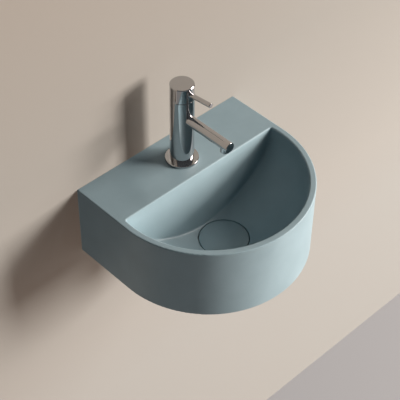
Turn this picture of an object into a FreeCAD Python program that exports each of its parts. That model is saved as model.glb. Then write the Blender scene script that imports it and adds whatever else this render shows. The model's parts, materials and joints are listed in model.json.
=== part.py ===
import FreeCAD, Part
import Sketcher
import os
import re

# Wall-hung cloakroom basin with a single-lever pin mixer and a push-open waste.
# Millimetres. Origin: middle of the two wall-fixing holes, on the back face. +Z up, front faces -Y.

doc = FreeCAD.newDocument("cloakroom_basin")
sheet = doc.addObject("Spreadsheet::Sheet", "Sizes")

# Driving dimensions, in millimetres and degrees.
SIZES = {
    # Basin shell
    "basin_width": 360,
    "basin_height": 142,
    "side_length": 122.5,
    "rim_width": 12,
    "skirt_wall": 12,
    "back_wall": 12,
    "deck_thickness": 12,
    "deck_depth": 106,
    "rim_round": 2,
    "bowl_round": 2.8,
    "foot_round": 2,
    # Bowl
    "bowl_depth": 114.5,
    "bowl_wall": 10,
    "dish_power": 2.3,
    "back_lean": 5.7,
    "crease_round": 4,
    "recess_land": 0.6,
    "recess_depth": 12,
    "outlet_wall": 10,
    # Wall fixing
    "fixing_drop": 80,
    "fixing_spacing": 200,
    "fixing_hole": 14,
    # Waste
    "waste_from_wall": 164,
    "cover_radius": 43,
    "cover_gap": 1.6,
    "cover_thickness": 6,
    "cover_edge": 0.8,
    "waste_hole": 45,
    "waste_thread": 41.9,
    "tail_thread": 41.9,
    "tail_gap": 0.5,
    "relief_width": 2,
    "relief_depth": 1.2,
    "waste_bore": 36,
    "waste_length": 72,
    "waste_flange": 64,
    "waste_flange_thickness": 3,
    "waste_gasket_thickness": 1.5,
    "lower_gasket_thickness": 4,
    "slip_washer_thickness": 1.5,
    "washer_width": 60,
    "backnut_width": 56,
    "backnut_height": 10,
    "seal_inner": 48,
    "seal_outer": 58,
    "web_width": 6,
    "web_height": 6,
    "web_drop": 6,
    "hub_wall": 3,
    "sleeve_outer": 16,
    "sleeve_bore": 12,
    "sleeve_lip": 3,
    "sleeve_floor": 2,
    "sleeve_flange": 1.5,
    "plunger_thickness": 8,
    "plunger_head": 3,
    "plunger_travel": 8,
    "stop_gap": 0.5,
    "cover_thread": 6,
    "cover_thread_depth": 4,
    "spring_length": 16,
    "spring_wire": 1,
    "spring_pitch": 2.5,
    # Tap body and base
    "tap_from_wall": 58.5,
    "tap_hole": 35,
    "tap_thickness": 41,
    "flange_width": 58,
    "flange_thickness": 4,
    "flange_edge": 1,
    "base_seal_inner": 46,
    "base_seal_width": 3,
    "base_seal_depth": 1.5,
    "spigot_thickness": 33,
    "spigot_depth": 3,
    "inlet_offset": 7,
    "inlet_forward": 4,
    "inlet_thread": 10,
    "inlet_depth": 15,
    # Tap fixing
    "stud_thread": 8,
    "stud_back": 11,
    "stud_grip": 12,
    "stud_length": 72,
    "clamp_width": 50,
    "clamp_slot": 28,
    "clamp_slot_end": 3.5,
    "stud_hole_gap": 0.3,
    "clamp_thickness": 3,
    "clamp_rubber_thickness": 3,
    "stud_nut_width": 13,
    "stud_nut_height": 6.5,
    # Spout
    "spout_height": 93.5,
    "spout_thickness": 18,
    "spout_bore": 12,
    "spout_reach": 112,
    "spout_root": 11,
    "spout_edge": 0.6,
    "spout_seal_thickness": 1.5,
    "spout_plug_length": 5,
    "spout_port": 5.4,
    "nozzle_thickness": 15.6,
    "nozzle_drop": 4.5,
    "nozzle_setback": 11.5,
    "aerator_thread": 13,
    "aerator_height": 6,
    "aerator_wall": 1.4,
    "aerator_inset": 0.5,
    "aerator_washer_thickness": 1.2,
    "grid_hole": 1.6,
    "grid_ring": 6.4,
    # Lever and cap
    "tap_height": 159,
    "split_height": 130.7,
    "split_gap": 1.3,
    "pivot_drop": 9.7,
    "crown_clearance": 0.3,
    "cap_edge": 1.2,
    "stem_thickness": 6,
    "stem_rise": 32,
    "stem_clearance": 0.1,
    "lever_thickness": 8,
    "lever_height": 15,
    "lever_reach": 47,
    "lever_tilt": 7,
    "lever_socket": 2.5,
    "lever_thread": 6,
    "lever_thread_length": 9,
    "lever_edge": 0.8,
    "grub_thread": 5,
    "grub_length": 10,
    "grub_height": 16.5,
    "grub_key": 2.5,
    # Cartridge
    "housing_thickness": 26.8,
    "housing_bore": 23.2,
    "housing_lip": 2,
    "cartridge_clearance": 0.2,
    "running_gap": 0.15,
    "fit_gap": 0.06,
    "cartridge_base_thickness": 3,
    "disc_thickness": 3,
    "fixed_disc_width": 22.8,
    "moving_disc_width": 18,
    "chamber_width": 10.4,
    "chamber_depth": 1.5,
    "chamber_back": 2,
    "inlet_port": 3.6,
    "inlet_port_side": 6,
    "inlet_port_forward": 4,
    "outlet_port": 4.6,
    "outlet_port_back": 6,
    "port_seal_width": 6.8,
    "port_seal_thickness": 1.2,
    "inlet_passage": 5,
    "carrier_floor": 0.4,
    "carrier_plate": 2.6,
    "key_width": 8,
    "key_length": 14,
    "key_rise": 1,
    "ball_arm": 6.2,
    "ball_thickness": 4,
    "ball_neck": 2.6,
    "ball_clearance": 0.2,
    "pivot_pin_thickness": 2.5,
    "pivot_pin_length": 18,
    "turret_neck": 16,
    "turret_rise": 6,
    "swing_rear": 3.9,
    "swing_front": 1.8,
    "nut_thread": 33,
    "nut_thread_height": 6,
    "nut_hex": 27,
    "nut_hex_height": 5,
    "nut_bore": 19,
}

# Heights and places worked out from the driving dimensions.
PLACES = {
    "outer_radius": "basin_width / 2",
    "bowl_radius": "basin_width / 2 - rim_width",
    "recess_radius": "cover_radius + cover_gap",
    "floor_radius": "recess_radius + recess_land",
    "deck": "fixing_drop",
    "deck_underside": "deck - deck_thickness",
    "foot": "deck - basin_height",
    "arc_y": "-side_length",
    "bowl_floor": "deck - bowl_depth",
    "recess_floor": "bowl_floor - recess_depth",
    "outlet_face": "recess_floor - outlet_wall",
    "waste_y": "-waste_from_wall",
    "flange_base": "recess_floor + waste_gasket_thickness",
    "flange_face": "flange_base + waste_flange_thickness",
    "cover_base": "bowl_floor - cover_thickness",
    "lower_gasket_base": "outlet_face - lower_gasket_thickness",
    "slip_washer_base": "lower_gasket_base - slip_washer_thickness",
    "backnut_base": "slip_washer_base - backnut_height",
    "relief_top": "backnut_base - tail_gap",
    "tail_top": "relief_top - relief_width",
    "tail_base": "flange_base - waste_length",
    "web_top": "flange_base - web_drop",
    "web_base": "web_top - web_height",
    "sleeve_top": "web_top + sleeve_flange",
    "plunger_stop": "sleeve_top - sleeve_lip - stop_gap - plunger_travel",
    "plunger_base": "plunger_stop - plunger_head",
    "spring_base": "plunger_base - spring_length",
    "sleeve_base": "spring_base - sleeve_floor",
    "tap_y": "-tap_from_wall",
    "flange_top": "deck + flange_thickness",
    "spigot_base": "deck - spigot_depth",
    "split": "deck + split_height",
    "cap_base": "split + split_gap",
    "cap_top": "deck + tap_height",
    "pivot": "split - pivot_drop",
    "stem_top": "pivot + stem_rise",
    "tap_radius": "tap_thickness / 2",
    "crown_radius": "sqrt(tap_radius ^ 2 + pivot_drop ^ 2)",
    "hollow_radius": "crown_radius + crown_clearance",
    "ball": "pivot - ball_arm",
    "carrier_base": "ball - ball_thickness / 2 - ball_clearance - carrier_floor",
    "carrier_face": "carrier_base + carrier_plate",
    "key_top": "carrier_face + key_rise",
    "moving_disc_base": "carrier_base - disc_thickness",
    "fixed_disc_base": "moving_disc_base - disc_thickness",
    "seat": "fixed_disc_base - cartridge_base_thickness",
    "turret_base": "carrier_face + running_gap",
    "turret_shoulder": "pivot + pivot_pin_thickness",
    "turret_top": "turret_shoulder + turret_rise",
    "lip_base": "turret_shoulder + running_gap",
    "housing_top": "lip_base + housing_lip",
    "nut_base": "housing_top - nut_thread_height / 2",
    "nut_top": "nut_base + nut_thread_height + nut_hex_height",
    "spout_z": "deck + spout_height",
    "spout_end_y": "tap_y - spout_reach",
    "nozzle_y": "spout_end_y + nozzle_setback",
    "nozzle_face": "spout_z - spout_thickness / 2 - nozzle_drop",
    "aerator_base": "nozzle_face + aerator_inset",
    "aerator_top": "aerator_base + aerator_height",
    "clamp_rubber_base": "deck_underside - clamp_rubber_thickness",
    "clamp_base": "clamp_rubber_base - clamp_thickness",
    "stud_nut_base": "clamp_base - stud_nut_height",
    "stud_top": "spigot_base + stud_grip",
    "lever_surface": "tap_radius / cos(lever_tilt * 1deg)",
    "lever_shoulder": "lever_surface - lever_socket",
    "lever_z": "cap_base + lever_height - tap_radius * tan(lever_tilt * 1deg)",
}

for row, (alias, value) in enumerate(SIZES.items(), start=1):
    sheet.set(f"A{row}", alias)
    sheet.set(f"B{row}", str(value))
    sheet.setAlias(f"B{row}", alias)
doc.recompute()


def formula(text):
    """Expression text in which each place is spelled out and each size is read from the sheet."""
    def spell(match):
        word = match.group(0)
        if word in PLACES:
            return f"({formula(PLACES[word])})"
        if word in SIZES:
            return f"Sizes.{word}"
        return word
    return re.sub(r"[a-z]+(?:_[a-z]+)*", spell, str(text))


def bind(item, **properties):
    """Tie properties of a document object to the sheet; a double underscore stands for a dot."""
    for name, text in properties.items():
        item.setExpression(name.replace("__", "."), formula(text))


def place(item, x=0, y=0, z=0):
    """Tie the place of a document object to the sheet."""
    bind(item, Placement__Base__x=x, Placement__Base__y=y, Placement__Base__z=z)


def upright(name, radius, base, top, x=0, y=0):
    """Upright cylinder between two heights."""
    rod = doc.addObject("Part::Cylinder", name)
    bind(rod, Radius=radius, Height=f"({top}) - ({base})")
    place(rod, x, y, base)
    return rod


def lying(name, radius, near, far, z, x=0):
    """Cylinder along Y, from the y nearer to the wall to the y further out."""
    rod = doc.addObject("Part::Cylinder", name)
    rod.Placement.Rotation = FreeCAD.Rotation(FreeCAD.Vector(1, 0, 0), 90)
    bind(rod, Radius=radius, Height=f"({near}) - ({far})")
    place(rod, x, near, z)
    return rod


def block(name, width, y_far, y_near, base, top, x=0):
    """Box centred on x, between two y values and two heights."""
    box = doc.addObject("Part::Box", name)
    bind(box, Length=width, Width=f"({y_near}) - ({y_far})", Height=f"({top}) - ({base})")
    place(box, f"({x}) - ({width}) / 2", y_far, base)
    return box


def ball_solid(name, radius, y, z):
    """Sphere on the middle plane."""
    sphere = doc.addObject("Part::Sphere", name)
    bind(sphere, Radius=radius)
    place(sphere, 0, y, z)
    return sphere


def hexagon(name, across_flats, base, height, x=0, y=0):
    """Upright hexagonal prism."""
    prism = doc.addObject("Part::Prism", name)
    prism.Polygon = 6
    bind(prism, Circumradius=f"({across_flats}) / sqrt(3)", Height=height)
    place(prism, x, y, base)
    return prism


def joined(name, shapes):
    """Union of several shapes."""
    union = doc.addObject("Part::MultiFuse", name)
    union.Shapes = shapes
    union.Refine = True
    return union


def cut(name, base, tools):
    """One shape less several others."""
    result = doc.addObject("Part::Cut", name)
    result.Base = base
    result.Tool = tools[0] if len(tools) == 1 else joined(f"{name}_tools", tools)
    return result


def turned(name, outline, x=0, y=0, z=0):
    """Solid of revolution about an upright axis, from (radius, height) corners."""
    body = doc.addObject("PartDesign::Body", name)
    plane = [item for item in body.Origin.OriginFeatures if item.Role == "XZ_Plane"][0]
    sketch = body.newObject("Sketcher::SketchObject", f"{name}_outline")
    sketch.AttachmentSupport = (plane, "")
    sketch.MapMode = "FlatFace"
    count = len(outline)
    spread = [FreeCAD.Vector(index + 1, index * index, 0) for index in range(count)]
    sketch.addGeometry([Part.LineSegment(spread[i], spread[(i + 1) % count]) for i in range(count)])
    for i, (radius, height) in enumerate(outline):
        sketch.addConstraint(Sketcher.Constraint("Coincident", i, 2, (i + 1) % count, 1))
        if radius == 0:
            sketch.addConstraint(Sketcher.Constraint("PointOnObject", i, 1, -2))
        else:
            across = sketch.addConstraint(Sketcher.Constraint("DistanceX", -1, 1, i, 1, i + 1))
            bind(sketch, **{f"Constraints[{across}]": radius})
        up = sketch.addConstraint(Sketcher.Constraint("DistanceY", -1, 1, i, 1, i + 1))
        bind(sketch, **{f"Constraints[{up}]": height})
    spin = body.newObject("PartDesign::Revolution", f"{name}_turn")
    spin.Profile = sketch
    spin.ReferenceAxis = (sketch, ["V_Axis"])
    spin.Angle = 360
    place(body, x, y, z)
    return body


def size(alias):
    """Value of a driving dimension, for what can't be bound."""
    return float(sheet.get(alias))


def across(name, radius, length, y, z):
    """Cylinder along X, centred on the middle plane."""
    rod = doc.addObject("Part::Cylinder", name)
    rod.Placement.Rotation = FreeCAD.Rotation(FreeCAD.Vector(0, 1, 0), 90)
    bind(rod, Radius=radius, Height=length)
    place(rod, f"-({length}) / 2", y, z)
    return rod


def along_lever(item):
    """Turn an upright piece to the lever's direction: forward and a little up."""
    item.Placement.Rotation = FreeCAD.Rotation(FreeCAD.Vector(1, 0, 0), 90)
    bind(item, Placement__Rotation__Angle="(90 - lever_tilt) * 1deg")
    return item


def lever_hole(name, radius, start, end):
    """Cylinder on the lever's axis, between two distances from the tap's axis."""
    rod = along_lever(upright(name, radius, start, end))
    y = f"tap_y - ({start}) * cos(lever_tilt * 1deg)"
    z = f"lever_z + ({start}) * sin(lever_tilt * 1deg)"
    place(rod, 0, y, z)
    return rod


def ring(inner, outer, base, top):
    """Corners of a plain ring."""
    return [(inner, base), (outer, base), (outer, top), (inner, top)]


def rounded(name, base, choose):
    """Fillet; choose gives the radius of an edge, or 0 to leave it sharp."""
    doc.recompute()
    result = doc.addObject("Part::Fillet", name)
    result.Base = base
    radii = [choose(edge) for edge in base.Shape.Edges]
    result.Edges = [(index, radius, radius) for index, radius in enumerate(radii, start=1) if radius > 0]
    return result


parts = []


def keep(item, label):
    """Name a finished sub-part."""
    item.Label = label
    parts.append(item)
    return item


# Basin: D-shaped block, carved by the bowl and hollow underneath
def d_prism(name, radius, back, base, top):
    """D-shaped prism: straight sides, then a half circle."""
    sides = block(f"{name}_sides", f"2 * ({radius})", "arc_y", back, base, top)
    front = upright(f"{name}_front", radius, base, top, y="arc_y")
    front.Angle = 180
    front.Placement.Rotation = FreeCAD.Rotation(FreeCAD.Vector(0, 0, 1), 180)
    return joined(name, [sides, front])


DISH_LEVELS = (0, 0.15, 0.3, 0.45, 0.6, 0.75, 0.9, 1.0, 1.06)


def dish(name, wall, depth, edge):
    """Bowl form: circles that shrink and move forward with depth, cut off by a leaning back wall."""
    circles = []
    for index, level in enumerate(DISH_LEVELS):
        circle = doc.addObject("Part::Circle", f"{name}_circle_{index}")
        circle.Placement.Rotation = FreeCAD.Rotation(FreeCAD.Vector(0, 0, 1), 90)
        share = f"(1 - {level} ^ dish_power)"
        bind(circle, Radius=f"floor_radius + (bowl_radius - floor_radius) * {share} + {wall}")
        place(circle, 0, f"-(waste_from_wall + (side_length - waste_from_wall) * {share})",
              f"deck - {level} * ({depth})")
        circles.append(circle)
    loft = doc.addObject("Part::Loft", f"{name}_dish")
    loft.Sections = circles
    loft.Solid = True
    behind = doc.addObject("Part::Box", f"{name}_behind")
    behind.Placement.Rotation = FreeCAD.Rotation(FreeCAD.Vector(-1, 0, 0), 1)
    bind(behind, Length="2 * basin_width", Width="basin_width", Height="4 * bowl_depth")
    bind(behind, Placement__Rotation__Angle="back_lean * 1deg")
    setback = "2 * bowl_depth * tan(back_lean * 1deg)"
    place(behind, "-basin_width", f"-({edge}) - {setback}", "deck - 2 * bowl_depth")
    return cut(name, loft, [behind])


def crease(edge):
    """The bowl's bottom crease runs from the deck, down and up again."""
    long_drop = edge.BoundBox.ZLength > size("bowl_depth") / 2
    return size("crease_round") if long_drop else 0


def basin_edge(edge):
    """Rounding of the basin's edges: rim outside, bowl inside, foot outside."""
    box = edge.BoundBox
    if box.ZLength > 0.01 or box.YMax > -0.01 and box.YLength < 0.01:
        return 0
    middle = edge.valueAt((edge.FirstParameter + edge.LastParameter) / 2)
    beyond_arc = min(middle.y + size("side_length"), 0)
    outside = abs((middle.x ** 2 + beyond_arc ** 2) ** 0.5 - size("basin_width") / 2) < 0.01
    if box.ZMin < size("fixing_drop") - size("basin_height") + 0.01:
        return size("foot_round")
    return size("rim_round") if outside else size("bowl_round")


outlet_boss = upright("outlet_boss", "recess_radius + bowl_wall", "outlet_face", "bowl_floor", y="waste_y")
basin_block = joined("basin_block", [d_prism("basin_outside", "outer_radius", 0, "foot", "deck"), outlet_boss])
bowl = rounded("bowl", dish("bowl_form", 0, "bowl_depth", "deck_depth"), crease)
carved = rounded("carved", cut("carved_sharp", basin_block, [bowl]), basin_edge)
bowl_outside = joined("bowl_outside", [
    dish("bowl_outside_form", "bowl_wall", "bowl_depth + bowl_wall", "deck_depth - bowl_wall"),
    outlet_boss])
inside = d_prism("inside", "outer_radius - skirt_wall", "-back_wall", "foot - skirt_wall", "deck_underside")
basin_holes = [
    cut("underside_hollow", inside, [bowl_outside]),
    upright("recess", "recess_radius", "recess_floor", "bowl_floor + recess_depth", y="waste_y"),
    upright("waste_way", "waste_hole / 2", "outlet_face - outlet_wall", "recess_floor", y="waste_y"),
    upright("tap_way", "tap_hole / 2", "deck_underside - 1", "deck + 1", y="tap_y"),
]
for side in (-1, 1):
    basin_holes.append(lying(f"fixing_way_{side + 1}", "fixing_hole / 2", "back_wall", "-2 * back_wall", 0,
                             f"{side} * fixing_spacing / 2"))
basin = carved
for index, hole in enumerate(basin_holes):
    basin = cut(f"basin_{index}", basin, [hole])
keep(basin, "basin_body")

# Waste: fixed body with its washers, and the push-open cover
cover_outline = [
    (0, "cover_base + cover_thread_depth"), ("cover_thread / 2", "cover_base + cover_thread_depth"),
    ("cover_thread / 2", "cover_base"), ("cover_radius", "cover_base"),
    ("cover_radius", "bowl_floor - cover_edge"), ("cover_radius - cover_edge", "bowl_floor"),
    (0, "bowl_floor")]
keep(turned("cover", cover_outline, y="waste_y"), "waste_cover")
keep(turned("seal", ring("seal_inner / 2", "seal_outer / 2", "flange_face", "cover_base"), y="waste_y"),
     "cover_seal")
plunger_outline = [
    (0, "plunger_base"), ("sleeve_bore / 2 - fit_gap", "plunger_base"),
    ("sleeve_bore / 2 - fit_gap", "plunger_stop"), ("plunger_thickness / 2", "plunger_stop"),
    ("plunger_thickness / 2", "cover_base"), ("cover_thread / 2", "cover_base"),
    ("cover_thread / 2", "cover_base + cover_thread_depth"), (0, "cover_base + cover_thread_depth")]
keep(turned("plunger", plunger_outline, y="waste_y"), "click_plunger")
sleeve_outline = [
    (0, "sleeve_base"), ("sleeve_outer / 2", "sleeve_base"), ("sleeve_outer / 2", "web_top"),
    ("sleeve_outer / 2 + hub_wall / 2", "web_top"), ("sleeve_outer / 2 + hub_wall / 2", "sleeve_top"),
    ("plunger_thickness / 2 + fit_gap", "sleeve_top"),
    ("plunger_thickness / 2 + fit_gap", "sleeve_top - sleeve_lip"),
    ("sleeve_bore / 2", "sleeve_top - sleeve_lip"), ("sleeve_bore / 2", "spring_base"), (0, "spring_base")]
keep(turned("sleeve", sleeve_outline, y="waste_y"), "click_sleeve")

coil_radius = "sleeve_bore / 2 - spring_wire"
coil = doc.addObject("Part::Helix", "coil")
bind(coil, Pitch="spring_pitch", Height="spring_length - spring_wire", Radius=coil_radius)
place(coil, 0, "waste_y", "spring_base + spring_wire / 2")
wire = doc.addObject("Part::Circle", "wire")
wire.Placement.Rotation = FreeCAD.Rotation(FreeCAD.Vector(1, 0, 0), 90)
bind(wire, Radius="spring_wire / 2")
place(wire, coil_radius, "waste_y", "spring_base + spring_wire / 2")
spring = doc.addObject("Part::Sweep", "spring")
spring.Sections = [wire]
spring.Spine = (coil, [])
spring.Solid = True
spring.Frenet = True
keep(spring, "click_spring")

waste_outline = [
    ("waste_bore / 2", "tail_base"), ("tail_thread / 2", "tail_base"), ("tail_thread / 2", "tail_top"),
    ("waste_thread / 2 - relief_depth", "tail_top"), ("waste_thread / 2 - relief_depth", "relief_top"),
    ("waste_thread / 2", "relief_top"), ("waste_thread / 2", "flange_base"), ("waste_flange / 2", "flange_base"),
    ("waste_flange / 2", "flange_face"), ("waste_bore / 2", "flange_face")]
web_front = "waste_y - web_width / 2"
web_rear = "waste_y + web_width / 2"
web = joined("web", [
    block("web_bar", "waste_bore + 1", web_front, web_rear, "web_base", "web_top"),
    upright("web_hub", "sleeve_outer / 2 + hub_wall", "web_base", "web_top", y="waste_y")])
waste_blank = joined("waste_blank", [turned("waste_tube", waste_outline, y="waste_y"), web])
sleeve_way = upright("sleeve_way", "sleeve_outer / 2", "web_base - 1", "web_top + 1", y="waste_y")
keep(cut("waste", waste_blank, [sleeve_way]), "waste_body")

washer_hole = "waste_thread / 2 + running_gap"
upper_ring = ring(washer_hole, "waste_flange / 2", "recess_floor", "flange_base")
keep(turned("upper_gasket", upper_ring, y="waste_y"), "waste_upper_gasket")
lower_ring = ring(washer_hole, "washer_width / 2", "lower_gasket_base", "outlet_face")
keep(turned("lower_gasket", lower_ring, y="waste_y"), "waste_lower_gasket")
slip_ring = ring(washer_hole, "washer_width / 2", "slip_washer_base", "lower_gasket_base")
keep(turned("slip", slip_ring, y="waste_y"), "waste_slip_washer")
backnut_hex = hexagon("backnut_hex", "backnut_width", "backnut_base", "backnut_height", y="waste_y")
backnut_way = upright("backnut_way", "waste_thread / 2", "backnut_base - 1", "slip_washer_base + 1", y="waste_y")
keep(cut("backnut", backnut_hex, [backnut_way]), "waste_backnut")

# Tap base, body and the fixing below the deck
base_seal_outer = "base_seal_inner / 2 + base_seal_width"
base_outline = [
    ("spigot_thickness / 2 + running_gap", "deck"), ("base_seal_inner / 2", "deck"),
    ("base_seal_inner / 2", "deck + base_seal_depth"), (base_seal_outer, "deck + base_seal_depth"),
    (base_seal_outer, "deck"), ("flange_width / 2", "deck"), ("flange_width / 2", "flange_top - flange_edge"),
    ("flange_width / 2 - flange_edge", "flange_top"), ("spigot_thickness / 2 + running_gap", "flange_top")]
keep(turned("base_ring", base_outline, y="tap_y"), "tap_base_ring")
seal_ring = ring("base_seal_inner / 2", base_seal_outer, "deck", "deck + base_seal_depth")
keep(turned("base_seal", seal_ring, y="tap_y"), "tap_base_seal")

body_outline = [
    (0, "spigot_base"), ("spigot_thickness / 2", "spigot_base"), ("spigot_thickness / 2", "flange_top"),
    ("tap_radius", "flange_top"), ("tap_radius", "pivot + crown_radius"),
    ("nut_thread / 2", "pivot + crown_radius"), ("nut_thread / 2", "nut_base"),
    ("housing_thickness / 2 + cartridge_clearance", "nut_base"),
    ("housing_thickness / 2 + cartridge_clearance", "seat"), (0, "seat")]
crown = joined("crown", [ball_solid("crown_ball", "crown_radius", "tap_y", "pivot"),
                         upright("crown_column", "2 * tap_radius", "spigot_base", "pivot", y="tap_y")])
body_blank = doc.addObject("Part::Common", "body_blank")
body_blank.Base = turned("body_bar", body_outline, y="tap_y")
body_blank.Tool = crown
body_ways = [
    upright("stud_way", "stud_thread / 2", "spigot_base - 1", "stud_top", y="tap_y + stud_back"),
    lying("spout_socket", "spout_thickness / 2", "tap_y - spout_root + spout_seal_thickness",
          "tap_y - 2 * tap_radius", "spout_z"),
    lying("spout_way", "spout_port / 2", "tap_y + outlet_port_back", "tap_y - spout_root", "spout_z"),
    upright("outlet_way", "spout_port / 2", "spout_z", "seat + 1", y="tap_y + outlet_port_back")]
for side in (-1, 1):
    inlet_top = "spigot_base + inlet_depth"
    body_ways.append(upright(f"inlet_way_{side + 1}", "inlet_thread / 2", "spigot_base - 1", inlet_top,
                             f"{side} * inlet_offset", "tap_y - inlet_forward"))
    body_ways.append(upright(f"inlet_passage_{side + 1}", "inlet_passage / 2", f"{inlet_top} - 1", "seat + 1",
                             f"{side} * inlet_port_side", "tap_y - inlet_port_forward"))
keep(cut("tap", body_blank, body_ways), "tap_body")

stud_y = "tap_y + stud_back"
keep(upright("stud", "stud_thread / 2", "stud_top - stud_length", "stud_top", y=stud_y), "fixing_stud")


def horseshoe(name, base, top):
    """Clamp washer with a slot for the two hoses and a hole for the stud."""
    disc = upright(f"{name}_disc", "clamp_width / 2", base, top, y="tap_y")
    below = f"{base} - 1"
    above = f"{top} + 1"
    slot = block(f"{name}_slot", "clamp_slot", "tap_y - clamp_width", "tap_y + clamp_slot_end", below, above)
    hole = upright(f"{name}_hole", "stud_thread / 2 + stud_hole_gap", below, above, y=stud_y)
    return cut(name, disc, [slot, hole])


keep(horseshoe("clamp_rubber", "clamp_rubber_base", "deck_underside"), "clamp_rubber")
keep(horseshoe("clamp", "clamp_base", "clamp_rubber_base"), "clamp_plate")
stud_nut_hex = hexagon("stud_nut_hex", "stud_nut_width", "stud_nut_base", "stud_nut_height", y=stud_y)
stud_nut_way = upright("stud_nut_way", "stud_thread / 2", "stud_nut_base - 1", "clamp_base + 1", y=stud_y)
keep(cut("stud_nut", stud_nut_hex, [stud_nut_way]), "fixing_nut")

# Spout with its nozzle, end plug, seal and aerator
spout_outline = [
    (0, "-tap_y + spout_root"), ("spout_thickness / 2", "-tap_y + spout_root"),
    ("spout_thickness / 2", "-spout_end_y - spout_edge"),
    ("spout_thickness / 2 - spout_edge", "-spout_end_y"), (0, "-spout_end_y")]
spout_rod = turned("spout_rod", spout_outline, z="spout_z")
spout_rod.Placement.Rotation = FreeCAD.Rotation(FreeCAD.Vector(1, 0, 0), 90)
spout_bar = joined("spout_bar", [
    spout_rod,
    upright("nozzle", "nozzle_thickness / 2", "nozzle_face", "spout_z", y="nozzle_y")])
spout = cut("spout", spout_bar, [
    lying("spout_bore", "spout_bore / 2", "tap_y", "spout_end_y - 1", "spout_z"),
    upright("nozzle_bore", "aerator_thread / 2", "nozzle_face - 1", "spout_z", y="nozzle_y")])
keep(spout, "spout_tube")
plug_rear = "spout_end_y + spout_plug_length"
keep(lying("spout_plug", "spout_bore / 2", plug_rear, "spout_end_y", "spout_z"), "spout_plug")
seal_front = "tap_y - spout_root"
seal_rear = f"{seal_front} + spout_seal_thickness"
seal_disc = lying("spout_ring_disc", "spout_thickness / 2", seal_rear, seal_front, "spout_z")
seal_hole = lying("spout_ring_hole", "spout_bore / 2", "tap_y", "tap_y - 2 * spout_root", "spout_z")
keep(cut("spout_ring", seal_disc, [seal_hole]), "spout_seal")
aerator_inside = "aerator_thread / 2 - aerator_wall"
aerator_ring = ring(aerator_inside, "aerator_thread / 2", "aerator_base", "aerator_top")
keep(turned("aerator", aerator_ring, y="nozzle_y"), "aerator_housing")
grid_holes = [upright("grid_middle", "grid_hole / 2", "aerator_base - 1", "aerator_top + 1", y="nozzle_y")]
GRID_COUNT = 6
for index in range(GRID_COUNT):
    turn = index * 360 / GRID_COUNT
    grid_holes.append(upright(f"grid_{index}", "grid_hole / 2", "aerator_base - 1", "aerator_top + 1",
                              f"grid_ring / 2 * cos({turn} * 1deg)",
                              f"nozzle_y + grid_ring / 2 * sin({turn} * 1deg)"))
grid_disc = upright("grid_disc", aerator_inside, "aerator_base + aerator_inset", "aerator_top", y="nozzle_y")
keep(cut("grid", grid_disc, grid_holes), "aerator_insert")
washer_top = "aerator_top + aerator_washer_thickness"
washer_ring = ring(aerator_inside, "aerator_thread / 2", "aerator_top", washer_top)
keep(turned("aerator_ring", washer_ring, y="nozzle_y"), "aerator_washer")

# Cartridge, from its base up to its nut
def port(name, width, base, top, which):
    """One of the three water ports: -1 and 1 are the inlets, 0 is the outlet."""
    ahead = "-inlet_port_forward" if which else "outlet_port_back"
    sideways = f"{which} * inlet_port_side"
    return upright(f"{name}_{which + 1}", f"({width}) / 2", base, top, sideways, f"tap_y + {ahead}")


PORTS = (-1, 0, 1)


def port_width(which):
    """Inlets are narrower than the outlet."""
    return "inlet_port" if which else "outlet_port"


seal_top = "seat + port_seal_thickness"
base_cuts = []
seal_rings = []
disc_cuts = []
for which in PORTS:
    width = port_width(which)
    base_cuts.append(port("base_port", width, "seat - 1", "fixed_disc_base + 1", which))
    base_cuts.append(port("base_seal_seat", "port_seal_width", "seat - 1", seal_top, which))
    seal_disc = port("port_seal_disc", "port_seal_width", "seat", seal_top, which)
    seal_hole = port("port_seal_hole", width, "seat - 1", f"{seal_top} + 1", which)
    seal_rings.append(cut(f"port_seal_{which + 1}", seal_disc, [seal_hole]))
    disc_cuts.append(port("disc_port", width, "fixed_disc_base - 1", "moving_disc_base + 1", which))
foot_disc = upright("cartridge_foot_disc", "housing_thickness / 2", "seat", "fixed_disc_base", y="tap_y")
keep(cut("cartridge_foot", foot_disc, base_cuts), "cartridge_base")
port_seals = doc.addObject("Part::Compound", "port_seal_set")
port_seals.Links = seal_rings
keep(port_seals, "port_seals")
lower_disc = upright("lower_disc_blank", "fixed_disc_width / 2", "fixed_disc_base", "moving_disc_base", y="tap_y")
keep(cut("lower_disc", lower_disc, disc_cuts), "fixed_disc")
upper_disc = upright("upper_disc_blank", "moving_disc_width / 2", "moving_disc_base", "carrier_base", y="tap_y")
chamber_top = "moving_disc_base + chamber_depth"
chamber = upright("chamber", "chamber_width / 2", "moving_disc_base - 1", chamber_top, y="tap_y + chamber_back")
keep(cut("upper_disc", upper_disc, [chamber]), "moving_disc")
key_front = "tap_y - key_length / 2"
key_rear = "tap_y + key_length / 2"
carrier_blank = joined("carrier_blank", [
    upright("carrier_plate_disc", "moving_disc_width / 2", "carrier_base", "carrier_face", y="tap_y"),
    block("carrier_key", "key_width", key_front, key_rear, "carrier_base", "key_top")])
ball_room = "ball_thickness / 2 + ball_clearance"
pocket_base = "carrier_base + carrier_floor"
pocket = block("carrier_pocket", f"2 * ({ball_room})", f"tap_y - ({ball_room})", f"tap_y + ({ball_room})",
               pocket_base, "key_top + 1")
keep(cut("carrier", carrier_blank, [pocket]), "disc_carrier")

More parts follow.
